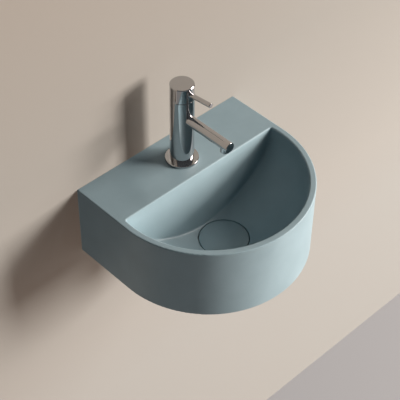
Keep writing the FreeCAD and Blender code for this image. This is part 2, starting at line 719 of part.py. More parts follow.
turret_radius = "housing_bore / 2 - fit_gap"
turret_outline = [
    (0, "turret_base"), (turret_radius, "turret_base"), (turret_radius, "turret_shoulder"),
    ("turret_neck / 2", "turret_shoulder"), ("turret_neck / 2", "turret_top"), (0, "turret_top")]
turret_cuts = [
    block("key_channel", "key_width + 2 * running_gap", "tap_y - housing_bore", "tap_y + housing_bore",
          "turret_base - 1", "key_top + running_gap"),
    block("stem_slot", "stem_thickness + 2 * running_gap", "tap_y - stem_thickness / 2 - swing_front",
          "tap_y + stem_thickness / 2 + swing_rear", "turret_base - 1", "turret_top + 1"),
    across("turret_pin_way", "pivot_pin_thickness / 2", "housing_bore + 2", "tap_y", "pivot")]
turret_blank = turned("turret_blank", turret_outline, y="tap_y")
keep(cut("turret", turret_blank, turret_cuts), "cartridge_turret")
keep(across("pivot_rod", "pivot_pin_thickness / 2", "pivot_pin_length", "tap_y", "pivot"), "pivot_pin")
lip_radius = "turret_neck / 2 + fit_gap"
housing_outline = [
    ("housing_bore / 2", "fixed_disc_base"), ("housing_thickness / 2", "fixed_disc_base"),
    ("housing_thickness / 2", "housing_top"), (lip_radius, "housing_top"), (lip_radius, "lip_base"),
    ("housing_bore / 2", "lip_base")]
keep(turned("housing", housing_outline, y="tap_y"), "cartridge_housing")
nut_blank = joined("nut_blank", [
    upright("nut_ring", "nut_thread / 2", "nut_base", "nut_base + nut_thread_height", y="tap_y"),
    hexagon("nut_head", "nut_hex", "nut_base", "nut_thread_height + nut_hex_height", y="tap_y")])
nut_room = "housing_thickness / 2 + cartridge_clearance"
nut_cuts = [
    upright("nut_seat", nut_room, "nut_base - 1", "housing_top", y="tap_y"),
    upright("nut_way", "nut_bore / 2", "nut_base - 1", "nut_top + 1", y="tap_y")]
keep(cut("nut", nut_blank, nut_cuts), "cartridge_nut")

# Lever: square stem on the pivot, cap, pin handle and grub screw
stem_blank = joined("stem_blank", [
    block("stem_bar", "stem_thickness", "tap_y - stem_thickness / 2", "tap_y + stem_thickness / 2",
          "pivot - pivot_pin_thickness - 1", "stem_top"),
    upright("stem_neck", "ball_neck / 2", "ball", "pivot - pivot_pin_thickness", y="tap_y"),
    ball_solid("stem_ball", "ball_thickness / 2", "tap_y", "ball")])
stem_pin_way = across("stem_pin_way", "pivot_pin_thickness / 2 + fit_gap", "2 * stem_thickness", "tap_y", "pivot")
keep(cut("stem", stem_blank, [stem_pin_way]), "lever_stem")
cap_outline = [
    (0, "cap_base"), ("tap_radius", "cap_base"), ("tap_radius", "cap_top - cap_edge"),
    ("tap_radius - cap_edge", "cap_top"), (0, "cap_top")]
stem_room = "stem_thickness / 2 + stem_clearance"
grub_z = "cap_base + grub_height"
grub_near = "tap_y + stem_thickness / 2 + grub_length"
handle_end = "lever_surface + lever_reach"
handle_start = "lever_shoulder - lever_thread_length"
cap_cuts = [
    ball_solid("cap_hollow", "hollow_radius", "tap_y", "pivot"),
    block("stem_socket", f"2 * ({stem_room})", f"tap_y - ({stem_room})", f"tap_y + ({stem_room})", "pivot",
          "stem_top + stem_clearance"),
    lever_hole("lever_seat", "lever_thickness / 2", "lever_shoulder", handle_end),
    lever_hole("lever_tapping", "lever_thread / 2", handle_start, "lever_shoulder + 1"),
    lying("grub_way", "grub_thread / 2", "tap_y + 2 * tap_radius", "tap_y", grub_z)]
keep(cut("cap", turned("cap_blank", cap_outline, y="tap_y"), cap_cuts), "lever_cap")
handle_outline = [
    (0, handle_start), ("lever_thread / 2", handle_start),
    ("lever_thread / 2", "lever_shoulder"), ("lever_thickness / 2", "lever_shoulder"),
    ("lever_thickness / 2", f"{handle_end} - lever_edge"), ("lever_thickness / 2 - lever_edge", handle_end),
    (0, handle_end)]
keep(along_lever(turned("handle", handle_outline, y="tap_y", z="lever_z")), "lever_pin")
key_socket = hexagon("grub_socket", "grub_key", grub_z, "grub_length / 2", y=grub_near)
key_socket.Placement.Rotation = FreeCAD.Rotation(FreeCAD.Vector(1, 0, 0), 90)
grub_rod = lying("grub_rod", "grub_thread / 2", grub_near, "tap_y + stem_thickness / 2", grub_z)
keep(cut("grub", grub_rod, [key_socket]), "grub_screw")

# Test every object, then write one file for each sub-part
doc.recompute()
failed = [item.Name for item in doc.Objects if {"Invalid", "Error"} & set(item.State)]
failed += [item.Label for item in parts if item.Shape.isNull() or not item.Shape.isValid()]
if failed:
    raise RuntimeError(f"not built: {failed}")
os.makedirs("parts", exist_ok=True)
for item in parts:
    item.Shape.exportStep(f"parts/{item.Label}.step")
    print(f"{item.Label}: {len(item.Shape.Solids)} solid, {item.Shape.Volume / 1000:.2f} cm3")
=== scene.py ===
# %% [markdown]
# # A wall-hung cloakroom basin with a pin-lever mixer
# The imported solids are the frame: every piece here sits where they sit, in metres, and rides on one of
# their bodies. Solids whose shape is already right keep their mesh and only get a finish. Pieces that want
# softer edges, threads or chamfers are modelled again on top of the solid that they stand for.

# %% Load the frame
import json
import math

import bmesh
import bpy
from mathutils import Matrix, Vector

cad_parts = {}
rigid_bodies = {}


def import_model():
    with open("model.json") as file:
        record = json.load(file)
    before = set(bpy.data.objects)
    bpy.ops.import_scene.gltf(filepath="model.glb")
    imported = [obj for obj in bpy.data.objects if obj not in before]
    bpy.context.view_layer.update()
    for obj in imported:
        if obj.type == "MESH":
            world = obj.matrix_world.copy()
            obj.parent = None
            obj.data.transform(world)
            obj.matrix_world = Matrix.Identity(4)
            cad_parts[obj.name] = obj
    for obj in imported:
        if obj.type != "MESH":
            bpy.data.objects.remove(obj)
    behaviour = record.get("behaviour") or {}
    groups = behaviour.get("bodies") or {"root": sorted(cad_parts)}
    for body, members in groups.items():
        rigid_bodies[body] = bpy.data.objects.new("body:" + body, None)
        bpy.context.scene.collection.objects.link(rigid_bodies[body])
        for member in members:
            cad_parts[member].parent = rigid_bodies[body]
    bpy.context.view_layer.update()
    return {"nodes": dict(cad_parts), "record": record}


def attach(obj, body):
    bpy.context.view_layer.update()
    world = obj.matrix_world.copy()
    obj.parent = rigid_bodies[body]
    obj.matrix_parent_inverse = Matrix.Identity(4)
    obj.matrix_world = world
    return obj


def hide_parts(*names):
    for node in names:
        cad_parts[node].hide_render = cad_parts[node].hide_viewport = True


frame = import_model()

# %% [markdown]
# ## Colours and nodes
# Colours are written as sRGB hex values, as a colour picker shows them, but shaders mix light in linear
# values, so one function turns the one into the other. A second one adds a node, sets its options and joins
# its inputs in one line. Noise scales count features per metre, so a third one works them out from a size
# in millimetres.

# %% Helpers for materials
MM = 0.001


def linear(hex_code):
    """sRGB hex such as 88A1A9 as linear red, green, blue and alpha."""
    channels = [int(hex_code[i:i + 2], 16) / 255 for i in (0, 2, 4)]
    # The sRGB curve is a short straight line near black, then a power of 2.4.
    return [c / 12.92 if c <= 0.04045 else ((c + 0.055) / 1.055) ** 2.4 for c in channels] + [1.0]


def add(tree, kind, inputs=None, **settings):
    """Add a node; inputs holds plain values, or outputs of other nodes to link."""
    node = tree.nodes.new(kind)
    for name, value in settings.items():
        setattr(node, name, value)
    for name, value in (inputs or {}).items():
        if isinstance(value, bpy.types.NodeSocket):
            tree.links.new(value, node.inputs[name])
        else:
            node.inputs[name].default_value = value
    return node


def per_metre(size_mm):
    """Texture scale at which one feature is about this many millimetres wide."""
    return 1 / (size_mm * MM)


def blank_material(name):
    """Material with an empty node tree."""
    material = bpy.data.materials.new(name)
    material.use_nodes = True
    material.node_tree.nodes.clear()
    return material


print("one linear grey:", [round(c, 3) for c in linear("808080")])

# %% [markdown]
# ## Matt glazed ceramic
# The basin and its waste cover are vitreous china under a matt coloured glaze. The glaze hides all grain,
# but it pools a little, so its tone drifts by a few percent over a hand's width, and its skin has a faint
# ripple that softens every highlight. A roughness near 0.45 gives the broad, silky edge light of a matt
# glaze.

# %% Ceramic
ceramic = blank_material("matt_glazed_ceramic")
tree = ceramic.node_tree
spot = add(tree, "ShaderNodeTexCoord").outputs["Object"]
# Pooled glaze: soft clouds about 45 mm across.
clouds = add(tree, "ShaderNodeTexNoise", {"Vector": spot, "Scale": per_metre(45), "Detail": 3.0})
tone = add(tree, "ShaderNodeValToRGB", {"Fac": clouds.outputs["Fac"]})
tone.color_ramp.elements[0].position = 0.3
tone.color_ramp.elements[0].color = linear("88A1A9")
tone.color_ramp.elements[1].position = 0.7
tone.color_ramp.elements[1].color = linear("8FA8B0")
# Ripple of the fired skin: about 1 mm in fact, drawn at 4 mm so that it shows at all.
ripple = add(tree, "ShaderNodeTexNoise", {"Vector": spot, "Scale": per_metre(4), "Detail": 2.0})
skin = add(tree, "ShaderNodeBump", {"Height": ripple.outputs["Fac"], "Strength": 0.06, "Distance": 0.4 * MM})
silk = add(tree, "ShaderNodeMapRange", {"Value": clouds.outputs["Fac"], "To Min": 0.40, "To Max": 0.48})
glaze = add(tree, "ShaderNodeBsdfPrincipled", {
    "Base Color": tone.outputs["Color"], "Roughness": silk.outputs["Result"], "IOR": 1.65,
    "Normal": skin.outputs["Normal"]})
add(tree, "ShaderNodeOutputMaterial", {"Surface": glaze.outputs["BSDF"]})
print("made", ceramic.name)

# %% [markdown]
# ## Polished chrome plate
# The mixer and the waste are brass under a thin layer of chrome. Chrome returns a little over half of the
# light, slightly blue, so it looks darker than silver and takes its colours from what stands around it.
# Buffing leaves waves far too shallow to feel, and fingers leave smears that change the gloss and hardly
# the tone.

# %% Chrome
chrome = blank_material("polished_chrome_plate")
tree = chrome.node_tree
spot = add(tree, "ShaderNodeTexCoord").outputs["Object"]
# Smears of a wiped hand: about 14 mm across.
smears = add(tree, "ShaderNodeTexNoise", {"Vector": spot, "Scale": per_metre(14), "Detail": 4.0})
gloss = add(tree, "ShaderNodeMapRange", {
    "Value": smears.outputs["Fac"], "From Min": 0.4, "From Max": 0.75, "To Min": 0.03, "To Max": 0.07})
plate = add(tree, "ShaderNodeValToRGB", {"Fac": smears.outputs["Fac"]})
plate.color_ramp.elements[0].color = linear("C4C5C6")
plate.color_ramp.elements[1].color = linear("BEBFC1")
# Buffing waves: about 20 mm long.
waves = add(tree, "ShaderNodeTexNoise", {"Vector": spot, "Scale": per_metre(20), "Detail": 1.0})
buffed = add(tree, "ShaderNodeBump", {"Height": waves.outputs["Fac"], "Strength": 0.02, "Distance": 0.5 * MM})
mirror = add(tree, "ShaderNodeBsdfPrincipled", {
    "Base Color": plate.outputs["Color"], "Metallic": 1.0, "Roughness": gloss.outputs["Result"],
    "Normal": buffed.outputs["Normal"]})
add(tree, "ShaderNodeOutputMaterial", {"Surface": mirror.outputs["BSDF"]})
print("made", chrome.name)

# %% [markdown]
# ## Turned brass
# The nut of the cartridge, the backnut, the plunger and the lever's stem are brass, left as the lathe made
# it, with fine rings across the axis and a patchy tarnish. Real tool marks are a few hundredths of a
# millimetre apart, too fine to show, so the rings are drawn nearly 4 mm apart. A wave texture gives such
# even rings.

# %% Brass
RING_SPACING = 3.77
# A wave texture of scale 1 repeats every tau / 20 metres.
WAVE_PERIOD = math.tau / 20
brass = blank_material("turned_brass")
tree = brass.node_tree
spot = add(tree, "ShaderNodeTexCoord").outputs["Object"]
rings = add(tree, "ShaderNodeTexWave", {
    "Vector": spot, "Scale": per_metre(RING_SPACING) * WAVE_PERIOD, "Distortion": 0.4, "Detail": 1.0},
    bands_direction="Z")
# Patches of tarnish: about 9 mm across.
tarnish = add(tree, "ShaderNodeTexNoise", {"Vector": spot, "Scale": per_metre(9), "Detail": 4.0})
metal = add(tree, "ShaderNodeValToRGB", {"Fac": tarnish.outputs["Fac"]})
metal.color_ramp.elements[0].position = 0.3
metal.color_ramp.elements[0].color = linear("A98A52")
metal.color_ramp.elements[1].position = 0.7
metal.color_ramp.elements[1].color = linear("CDB071")
cuts = add(tree, "ShaderNodeBump", {"Height": rings.outputs["Fac"], "Strength": 0.15, "Distance": 0.1 * MM})
dull = add(tree, "ShaderNodeMapRange", {"Value": tarnish.outputs["Fac"], "To Min": 0.22, "To Max": 0.42})
turned = add(tree, "ShaderNodeBsdfPrincipled", {
    "Base Color": metal.outputs["Color"], "Metallic": 1.0, "Roughness": dull.outputs["Result"],
    "Normal": cuts.outputs["Normal"]})
add(tree, "ShaderNodeOutputMaterial", {"Surface": turned.outputs["BSDF"]})
print("made", brass.name)

# %% [markdown]
# ## Drawn stainless steel
# Stud, clamp, nut, spring, pivot pin and grub screw are stainless steel, drawn or rolled, which leaves
# streaks along the metal. Noise that is stretched along one axis gives them. Real ones are hair-fine, so
# they are drawn coarser.

# %% Steel
steel = blank_material("drawn_stainless_steel")
tree = steel.node_tree
spot = add(tree, "ShaderNodeTexCoord").outputs["Object"]
# Drawing streaks: 0.8 mm wide and twenty times as long, along Z.
along = add(tree, "ShaderNodeMapping", {"Vector": spot, "Scale": (1.0, 1.0, 0.05)})
streaks = add(tree, "ShaderNodeTexNoise", {
    "Vector": along.outputs["Vector"], "Scale": per_metre(0.8), "Detail": 3.0})
grey = add(tree, "ShaderNodeValToRGB", {"Fac": streaks.outputs["Fac"]})
grey.color_ramp.elements[0].color = linear("9C9EA0")
grey.color_ramp.elements[1].color = linear("B9BABB")
drawn = add(tree, "ShaderNodeMapRange", {"Value": streaks.outputs["Fac"], "To Min": 0.25, "To Max": 0.42})
scratch = add(tree, "ShaderNodeBump", {
    "Height": streaks.outputs["Fac"], "Strength": 0.1, "Distance": 0.1 * MM})
bright = add(tree, "ShaderNodeBsdfPrincipled", {
    "Base Color": grey.outputs["Color"], "Metallic": 1.0, "Roughness": drawn.outputs["Result"],
    "Normal": scratch.outputs["Normal"]})
add(tree, "ShaderNodeOutputMaterial", {"Surface": bright.outputs["BSDF"]})
print("made", steel.name)

# %% [markdown]
# ## Moulded rubber
# Washers and seals are moulded rubber: black, with the grey bloom that comes out of rubber with age, and
# with the grit of the mould on its skin. One noise gives the bloom, a much finer one the grit.

# %% Rubber
rubber = blank_material("moulded_rubber")
tree = rubber.node_tree
spot = add(tree, "ShaderNodeTexCoord").outputs["Object"]
# Bloom: patches about 8 mm across.
bloom = add(tree, "ShaderNodeTexNoise", {"Vector": spot, "Scale": per_metre(8), "Detail": 4.0})
black = add(tree, "ShaderNodeValToRGB", {"Fac": bloom.outputs["Fac"]})
black.color_ramp.elements[0].position = 0.4
black.color_ramp.elements[0].color = linear("1B1B1C")
black.color_ramp.elements[1].position = 0.8
black.color_ramp.elements[1].color = linear("343435")
# Texture of the mould: 0.5 mm grit.
grit = add(tree, "ShaderNodeTexNoise", {"Vector": spot, "Scale": per_metre(0.5), "Detail": 2.0})
pebble = add(tree, "ShaderNodeBump", {"Height": grit.outputs["Fac"], "Strength": 0.2, "Distance": 0.1 * MM})
soft = add(tree, "ShaderNodeMapRange", {"Value": bloom.outputs["Fac"], "To Min": 0.6, "To Max": 0.85})
seal = add(tree, "ShaderNodeBsdfPrincipled", {
    "Base Color": black.outputs["Color"], "Roughness": soft.outputs["Result"], "IOR": 1.52,
    "Normal": pebble.outputs["Normal"]})
add(tree, "ShaderNodeOutputMaterial", {"Surface": seal.outputs["BSDF"]})
print("made", rubber.name)

# %% [markdown]
# ## Moulded acetal
# Most of the cartridge, the click sleeve, the slip ring and the aerator's insert are moulded acetal, an
# off-white waxy plastic. The melt swirls as it fills the mould, and that leaves faint flow marks, which a
# distorted noise gives.

# %% Acetal
acetal = blank_material("moulded_acetal")
tree = acetal.node_tree
spot = add(tree, "ShaderNodeTexCoord").outputs["Object"]
# Flow marks: about 6 mm wide.
flow = add(tree, "ShaderNodeTexNoise", {
    "Vector": spot, "Scale": per_metre(6), "Detail": 3.0, "Distortion": 1.2})
waxy = add(tree, "ShaderNodeValToRGB", {"Fac": flow.outputs["Fac"]})
waxy.color_ramp.elements[0].color = linear("DCDAD2")
waxy.color_ramp.elements[1].color = linear("E8E7E1")
sheen = add(tree, "ShaderNodeMapRange", {"Value": flow.outputs["Fac"], "To Min": 0.32, "To Max": 0.45})
moulded = add(tree, "ShaderNodeBump", {"Height": flow.outputs["Fac"], "Strength": 0.05, "Distance": 0.2 * MM})
plastic = add(tree, "ShaderNodeBsdfPrincipled", {
    "Base Color": waxy.outputs["Color"], "Roughness": sheen.outputs["Result"], "IOR": 1.48,
    "Normal": moulded.outputs["Normal"]})
add(tree, "ShaderNodeOutputMaterial", {"Surface": plastic.outputs["BSDF"]})
print("made", acetal.name)

# %% [markdown]
# ## Lapped alumina
# The two water discs in the cartridge are alumina, ground flat and lapped until they seal against each
# other. That leaves an even, very fine grain on a nearly glossy face.

# %% Alumina
alumina = blank_material("lapped_alumina")
tree = alumina.node_tree
spot = add(tree, "ShaderNodeTexCoord").outputs["Object"]
# The grain is far finer in fact, and drawn at 0.4 mm so that it shows at all.
grain = add(tree, "ShaderNodeTexNoise", {"Vector": spot, "Scale": per_metre(0.4), "Detail": 2.0})
white = add(tree, "ShaderNodeValToRGB", {"Fac": grain.outputs["Fac"]})
white.color_ramp.elements[0].color = linear("E6E3DB")
white.color_ramp.elements[1].color = linear("F1EFEA")
lapped = add(tree, "ShaderNodeMapRange", {"Value": grain.outputs["Fac"], "To Min": 0.15, "To Max": 0.25})
disc = add(tree, "ShaderNodeBsdfPrincipled", {
    "Base Color": white.outputs["Color"], "Roughness": lapped.outputs["Result"], "IOR": 1.76})
add(tree, "ShaderNodeOutputMaterial", {"Surface": disc.outputs["BSDF"]})
print("made", alumina.name)

# %% [markdown]
# ## Finishes on the solids
# Each solid names its finish in the record, so one loop dresses all of them. Only their material slots
# change, because their meshes are the frame and stay as they are.

# %% Dress the solids
FINISHES = {
    "basin_ceramic": ceramic, "chrome": chrome, "brass": brass, "steel": steel, "rubber": rubber,
    "plastic": acetal, "disc_ceramic": alumina}
slot_of = {part["node"]: part["material_slot"] for part in frame["record"]["subparts"]}
for node, solid in frame["nodes"].items():
    solid.material_slots[0].material = FINISHES[slot_of[node]]
print("dressed", len(slot_of), "solids")

# %% [markdown]
# ## Round pieces
# Most of the fittings are turned, so they start as half an outline: a few points at a radius and a height,
# spun once round an upright axis. Edges that a maker would break are then rounded with a bevel on their
# ring of edges. That keeps every outline readable as plain sizes in millimetres.

# %% Helpers for turned pieces
# Points that are nearer than this, in metres, are one point.
SAME_POINT = 1e-6
# Faces that meet at more than this angle get a sharp edge, and the others are shaded as one curve.
CREASE = math.radians(35)


def turn(outline, steps=96):
    """Spin (radius, height) points in millimetres once round the Z axis."""
    shape = bmesh.new()
    points = [shape.verts.new((radius * MM, 0, height * MM)) for radius, height in outline]
    lines = [shape.edges.new(pair) for pair in zip(points, points[1:])]
    bmesh.ops.spin(shape, geom=points + lines, axis=(0, 0, 1), angle=math.tau, steps=steps, use_merge=True)
    bmesh.ops.remove_doubles(shape, verts=shape.verts, dist=SAME_POINT)
    return shape


def round_ring(shape, radius, height, amount, segments):
    """Round the ring of edges at this radius and height, all in millimetres."""
    def on_ring(vert):
        beside = math.hypot(vert.co.x, vert.co.y) - radius * MM
        above = vert.co.z - height * MM
        return abs(beside) < SAME_POINT and abs(above) < SAME_POINT
    ring = [edge for edge in shape.edges if all(on_ring(vert) for vert in edge.verts)]
    bmesh.ops.bevel(shape, geom=ring, affect="EDGES", offset=amount * MM, segments=segments, profile=0.5,
                    material=-1)


def put(shape, y, z=0, tilt=0):
    """Lean a shape forward about X by some degrees, then move it by millimetres."""
    lean = Matrix.Rotation(math.radians(tilt), 3, "X")
    bmesh.ops.rotate(shape, verts=shape.verts, cent=(0, 0, 0), matrix=lean)
    bmesh.ops.translate(shape, verts=shape.verts, vec=Vector((0, y, z)) * MM)


def fit(shape, name, body, *nodes):
    """Make a shape a piece that stands for these solids and moves with their body."""
    bmesh.ops.recalc_face_normals(shape, faces=shape.faces)
    mesh = bpy.data.meshes.new(name)
    shape.to_mesh(mesh)
    shape.free()
    mesh.shade_smooth()
    mesh.set_sharp_from_angle(angle=CREASE)
    mesh.materials.append(FINISHES[slot_of[nodes[0]]])
    piece = bpy.data.objects.new(name, mesh)
    bpy.context.scene.collection.objects.link(piece)
    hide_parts(*nodes)
    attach(piece, body)
    print(name, len(mesh.polygons), "faces")


print("sharp above", round(math.degrees(CREASE)), "degrees")

# %% [markdown]
# ## Waste cover
# A glazed disc, flush with the bowl's floor. A fired disc is never dead flat: its face falls by 0.3 mm to a
# soft edge, which is what draws the thin dark ring round it in the bowl. The plunger sits in a blind hole
# underneath.

# %% Waste cover
WASTE_Y = -164
COVER_RADIUS = 43
COVER_TOP = -34.5
COVER_FOOT = -40.5
HOLE_RADIUS = 3
HOLE_TOP = -36.5
# Radius, and how far the face has fallen there.
FALLS = [(0, 0), (18, 0.04), (32, 0.16), (COVER_RADIUS, 0.3)]
face = [(radius, COVER_TOP - fall) for radius, fall in FALLS]
hole = [(HOLE_RADIUS, COVER_FOOT), (HOLE_RADIUS, HOLE_TOP), (0, HOLE_TOP)]
cover = turn(face + [(COVER_RADIUS, COVER_FOOT)] + hole)
round_ring(cover, *face[-1], amount=1.0, segments=4)
round_ring(cover, COVER_RADIUS, COVER_FOOT, amount=0.6, segments=2)
put(cover, y=WASTE_Y)
fit(cover, "glazed_waste_cover", "plug", "waste_cover")

# %% [markdown]
# ## Base ring of the mixer
# A thin plated ring that hides the tap hole. Its upper edge is rounded, so that it catches a line of light,
# and a groove underneath holds the seal.

# %% Base ring
TAP_Y = -58.5
DECK_Z = 80
RING_TOP = 84
RING_BORE = 16.65
RING_RADIUS = 29
GROOVE_INNER = 23
GROOVE_OUTER = 26
GROOVE_TOP = 81.5
groove = [
    (GROOVE_INNER, DECK_Z), (GROOVE_INNER, GROOVE_TOP), (GROOVE_OUTER, GROOVE_TOP), (GROOVE_OUTER, DECK_Z)]
upper = [(RING_RADIUS, DECK_Z), (RING_RADIUS, RING_TOP), (RING_BORE, RING_TOP)]
base = turn([(RING_BORE, DECK_Z)] + groove + upper + [(RING_BORE, DECK_Z)], steps=128)
round_ring(base, RING_RADIUS, RING_TOP, amount=1.2, segments=5)
round_ring(base, RING_RADIUS, DECK_Z, amount=0.3, segments=2)
put(base, y=TAP_Y)
fit(base, "mixer_base_ring", "basin", "tap_base_ring")

# %% [markdown]
# ## Pin of the lever
# A plated rod, screwed into the cap. Its free end has a small even radius all round, and its hidden end is
# a stud with a thread, drawn as rings. The pin leans up by 7 degrees from level, so it is turned upright
# and then laid forward. Heights count along the pin from the axis of the tap.

# %% Lever pin
LEVER_Z = 224.48
LEVER_LEAN = 7
PIN_RADIUS = 4
PIN_SHOULDER = 18.15
PIN_END = 67.65
PIN_STUD = 9
PIN_CREST = 3
PIN_ROOT = 2.5
HALF_PITCH = 0.5
pin_foot = PIN_SHOULDER - PIN_STUD
half_turns = round(PIN_STUD / HALF_PITCH)
thread = [(PIN_ROOT if i % 2 else PIN_CREST, pin_foot + HALF_PITCH * i) for i in range(half_turns + 1)]
rod = [(PIN_RADIUS, PIN_SHOULDER), (PIN_RADIUS, PIN_END), (0, PIN_END)]
pin = turn([(0, pin_foot)] + thread + rod, steps=64)
round_ring(pin, PIN_RADIUS, PIN_END, amount=0.9, segments=5)
put(pin, y=TAP_Y, z=LEVER_Z, tilt=90 - LEVER_LEAN)
fit(pin, "lever_pin_rod", "lever", "lever_pin")

# %% [markdown]
# ## Tube of the waste
# A plated brass tube with a flange on top and a pipe thread below, where the trap is screwed on. A real
# thread climbs 2.3 mm in each turn; on a tube this wide that slope is about one degree and can't be seen,
# so the ridges are drawn as rings in the outline. A plain groove above the thread is where the cutting tool
# ran out.


# %% Waste tube
def ridges(foot, pitch, turns, root, crest, flat):
    """Thread outline as rings; flat says where in each pitch, from 0 to 1, the crest starts and ends."""
    outline = []
    for i in range(turns):
        start = foot + i * pitch
        outline += [(root, start), (crest, start + flat[0] * pitch), (crest, start + flat[1] * pitch)]
    return outline


TUBE_BORE = 18
TUBE_TIP = 19.3
TUBE_ROOT = 19.75
TUBE_CREST = 20.95
TUBE_FOOT = -117
PIPE_START = -115.6
PIPE_PITCH = 2.309
PIPE_TURNS = 17
RELIEF_TOP = -72.5
FLANGE_RADIUS = 32
FLANGE_FOOT = -45
FLANGE_TOP = -42
pipe_thread = ridges(PIPE_START, PIPE_PITCH, PIPE_TURNS, TUBE_ROOT, TUBE_CREST, flat=(0.45, 0.55))
pipe_end = PIPE_START + PIPE_TURNS * PIPE_PITCH
relief = [(TUBE_ROOT, pipe_end), (TUBE_ROOT, RELIEF_TOP), (TUBE_CREST, RELIEF_TOP)]
flange = [(TUBE_CREST, FLANGE_FOOT), (FLANGE_RADIUS, FLANGE_FOOT), (FLANGE_RADIUS, FLANGE_TOP)]
bore = [(TUBE_BORE, FLANGE_TOP), (TUBE_BORE, TUBE_FOOT)]
tip = [(TUBE_BORE, TUBE_FOOT), (TUBE_TIP, TUBE_FOOT)]
waste = turn(tip + pipe_thread + relief + flange + bore, steps=128)
round_ring(waste, FLANGE_RADIUS, FLANGE_TOP, amount=0.8, segments=3)
print("waste tube", len(waste.faces), "faces")

# %% [markdown]
# ## Hub and bar of the waste
# A bar across the bore carries a ring, the hub, in which the click sleeve sits. A boolean cut would leave
# ragged faces in the tube, so hub and bar are closed shells in the same mesh. The hub is a short cylinder
# whose two lids are inset, taken out and bridged. The bar has two halves, which reach into the hub and the
# tube's wall.

# %% Waste hub and bar
HUB_Z = -54
HUB_RADIUS = 11
HUB_HEIGHT = 6
HUB_WALL = 3
BAR_X = 14.1
BAR_SIZE = Vector((9, 6, 6))
hub = bmesh.ops.create_cone(waste, cap_ends=True, segments=64, radius1=HUB_RADIUS * MM,
                            radius2=HUB_RADIUS * MM, depth=HUB_HEIGHT * MM)
bmesh.ops.translate(waste, verts=hub["verts"], vec=(0, 0, HUB_Z * MM))
# The lids are the only faces of the hub with more than four corners.
round_faces = [face for vert in hub["verts"] for face in vert.link_faces if len(face.verts) > 4]
lids = list(dict.fromkeys(round_faces))
bmesh.ops.inset_region(waste, faces=lids, thickness=HUB_WALL * MM)
rims = [edge for lid in lids for edge in lid.edges]
bmesh.ops.delete(waste, geom=lids, context="FACES_ONLY")
bmesh.ops.bridge_loops(waste, edges=rims)
for side in (-1, 1):
    half = bmesh.ops.create_cube(waste, size=1)
    bmesh.ops.scale(waste, verts=half["verts"], vec=BAR_SIZE * MM)
    bmesh.ops.translate(waste, verts=half["verts"], vec=Vector((side * BAR_X, 0, HUB_Z)) * MM)
put(waste, y=WASTE_Y)
fit(waste, "threaded_waste_body", "basin", "waste_body")

# %% [markdown]
# ## Backnut of the waste
# A hexagonal nut is bar stock, chamfered on a lathe. So a disc with the chamfers is turned first, wide
# enough to reach over the corners, and six cuts with a plane then make the flats. The curved edges between
# flat and chamfer, which show that it is a nut, come by themselves.


# %% Backnut
def flats(shape, across):
    """Cut six flats, this many millimetres across, into a turned blank."""
    for k in range(6):
        angle = math.radians(30 + 60 * k)
        out = Vector((math.cos(angle), math.sin(angle), 0))
        on_flat = out * across / 2 * MM
        every = shape.verts[:] + shape.edges[:] + shape.faces[:]
        sliced = bmesh.ops.bisect_plane(shape, geom=every, dist=SAME_POINT / 10, plane_co=on_flat,
                                        plane_no=out, clear_outer=True)
        border = [item for item in sliced["geom_cut"] if isinstance(item, bmesh.types.BMEdge)]
        bmesh.ops.edgeloop_fill(shape, edges=border)


BACKNUT_TOP = -62
BACKNUT_FOOT = -72
BACKNUT_BLANK = 32.4
BACKNUT_ACROSS = 56
# Width and height of the chamfers, one on the corners and one where the thread starts.
OUTER_WIDTH = 4.8
OUTER_HEIGHT = 2.7
INNER_WIDTH = 0.75
INNER_HEIGHT = 0.7
backnut = turn([
    (TUBE_CREST, BACKNUT_TOP), (BACKNUT_BLANK, BACKNUT_TOP), (BACKNUT_BLANK, BACKNUT_FOOT + OUTER_HEIGHT),
    (BACKNUT_BLANK - OUTER_WIDTH, BACKNUT_FOOT), (TUBE_CREST + INNER_WIDTH, BACKNUT_FOOT),
    (TUBE_CREST, BACKNUT_FOOT + INNER_HEIGHT), (TUBE_CREST, BACKNUT_TOP)], steps=120)
flats(backnut, BACKNUT_ACROSS)
put(backnut, y=WASTE_Y)
fit(backnut, "waste_hex_backnut", "basin", "waste_backnut")

# %% [markdown]
# ## Nut of the clamp
# A small nut below the clamp pulls the mixer down on the deck. It is made in the same way, and has its
# chamfers on both faces, so it can go on either way up.

# %% Clamp nut
STUD_Y = TAP_Y + 11
STUD_RADIUS = 4
NUT_TOP = 62
NUT_FOOT = 55.5
NUT_FACE = 6.3
NUT_BLANK = 7.55
NUT_ACROSS = 13
NUT_CHAMFER = 0.7
NUT_LEAD = 0.5
nut = turn([
    (STUD_RADIUS, NUT_TOP - NUT_LEAD), (STUD_RADIUS + NUT_LEAD, NUT_TOP), (NUT_FACE, NUT_TOP),
    (NUT_BLANK, NUT_TOP - NUT_CHAMFER), (NUT_BLANK, NUT_FOOT + NUT_CHAMFER),
    (NUT_FACE, NUT_FOOT), (STUD_RADIUS + NUT_LEAD, NUT_FOOT), (STUD_RADIUS, NUT_FOOT + NUT_LEAD),
    (STUD_RADIUS, NUT_TOP - NUT_LEAD)])
flats(nut, NUT_ACROSS)
put(nut, y=STUD_Y)
fit(nut, "clamp_hex_nut", "basin", "fixing_nut")

# %% [markdown]
# ## Stud
# Threaded rod, 8 mm thick with a pitch of 1.25 mm, on which the clamp hangs. It is cut off plain at both
# ends, and its ridges are rings again, because the slope of so fine a thread can't be seen.

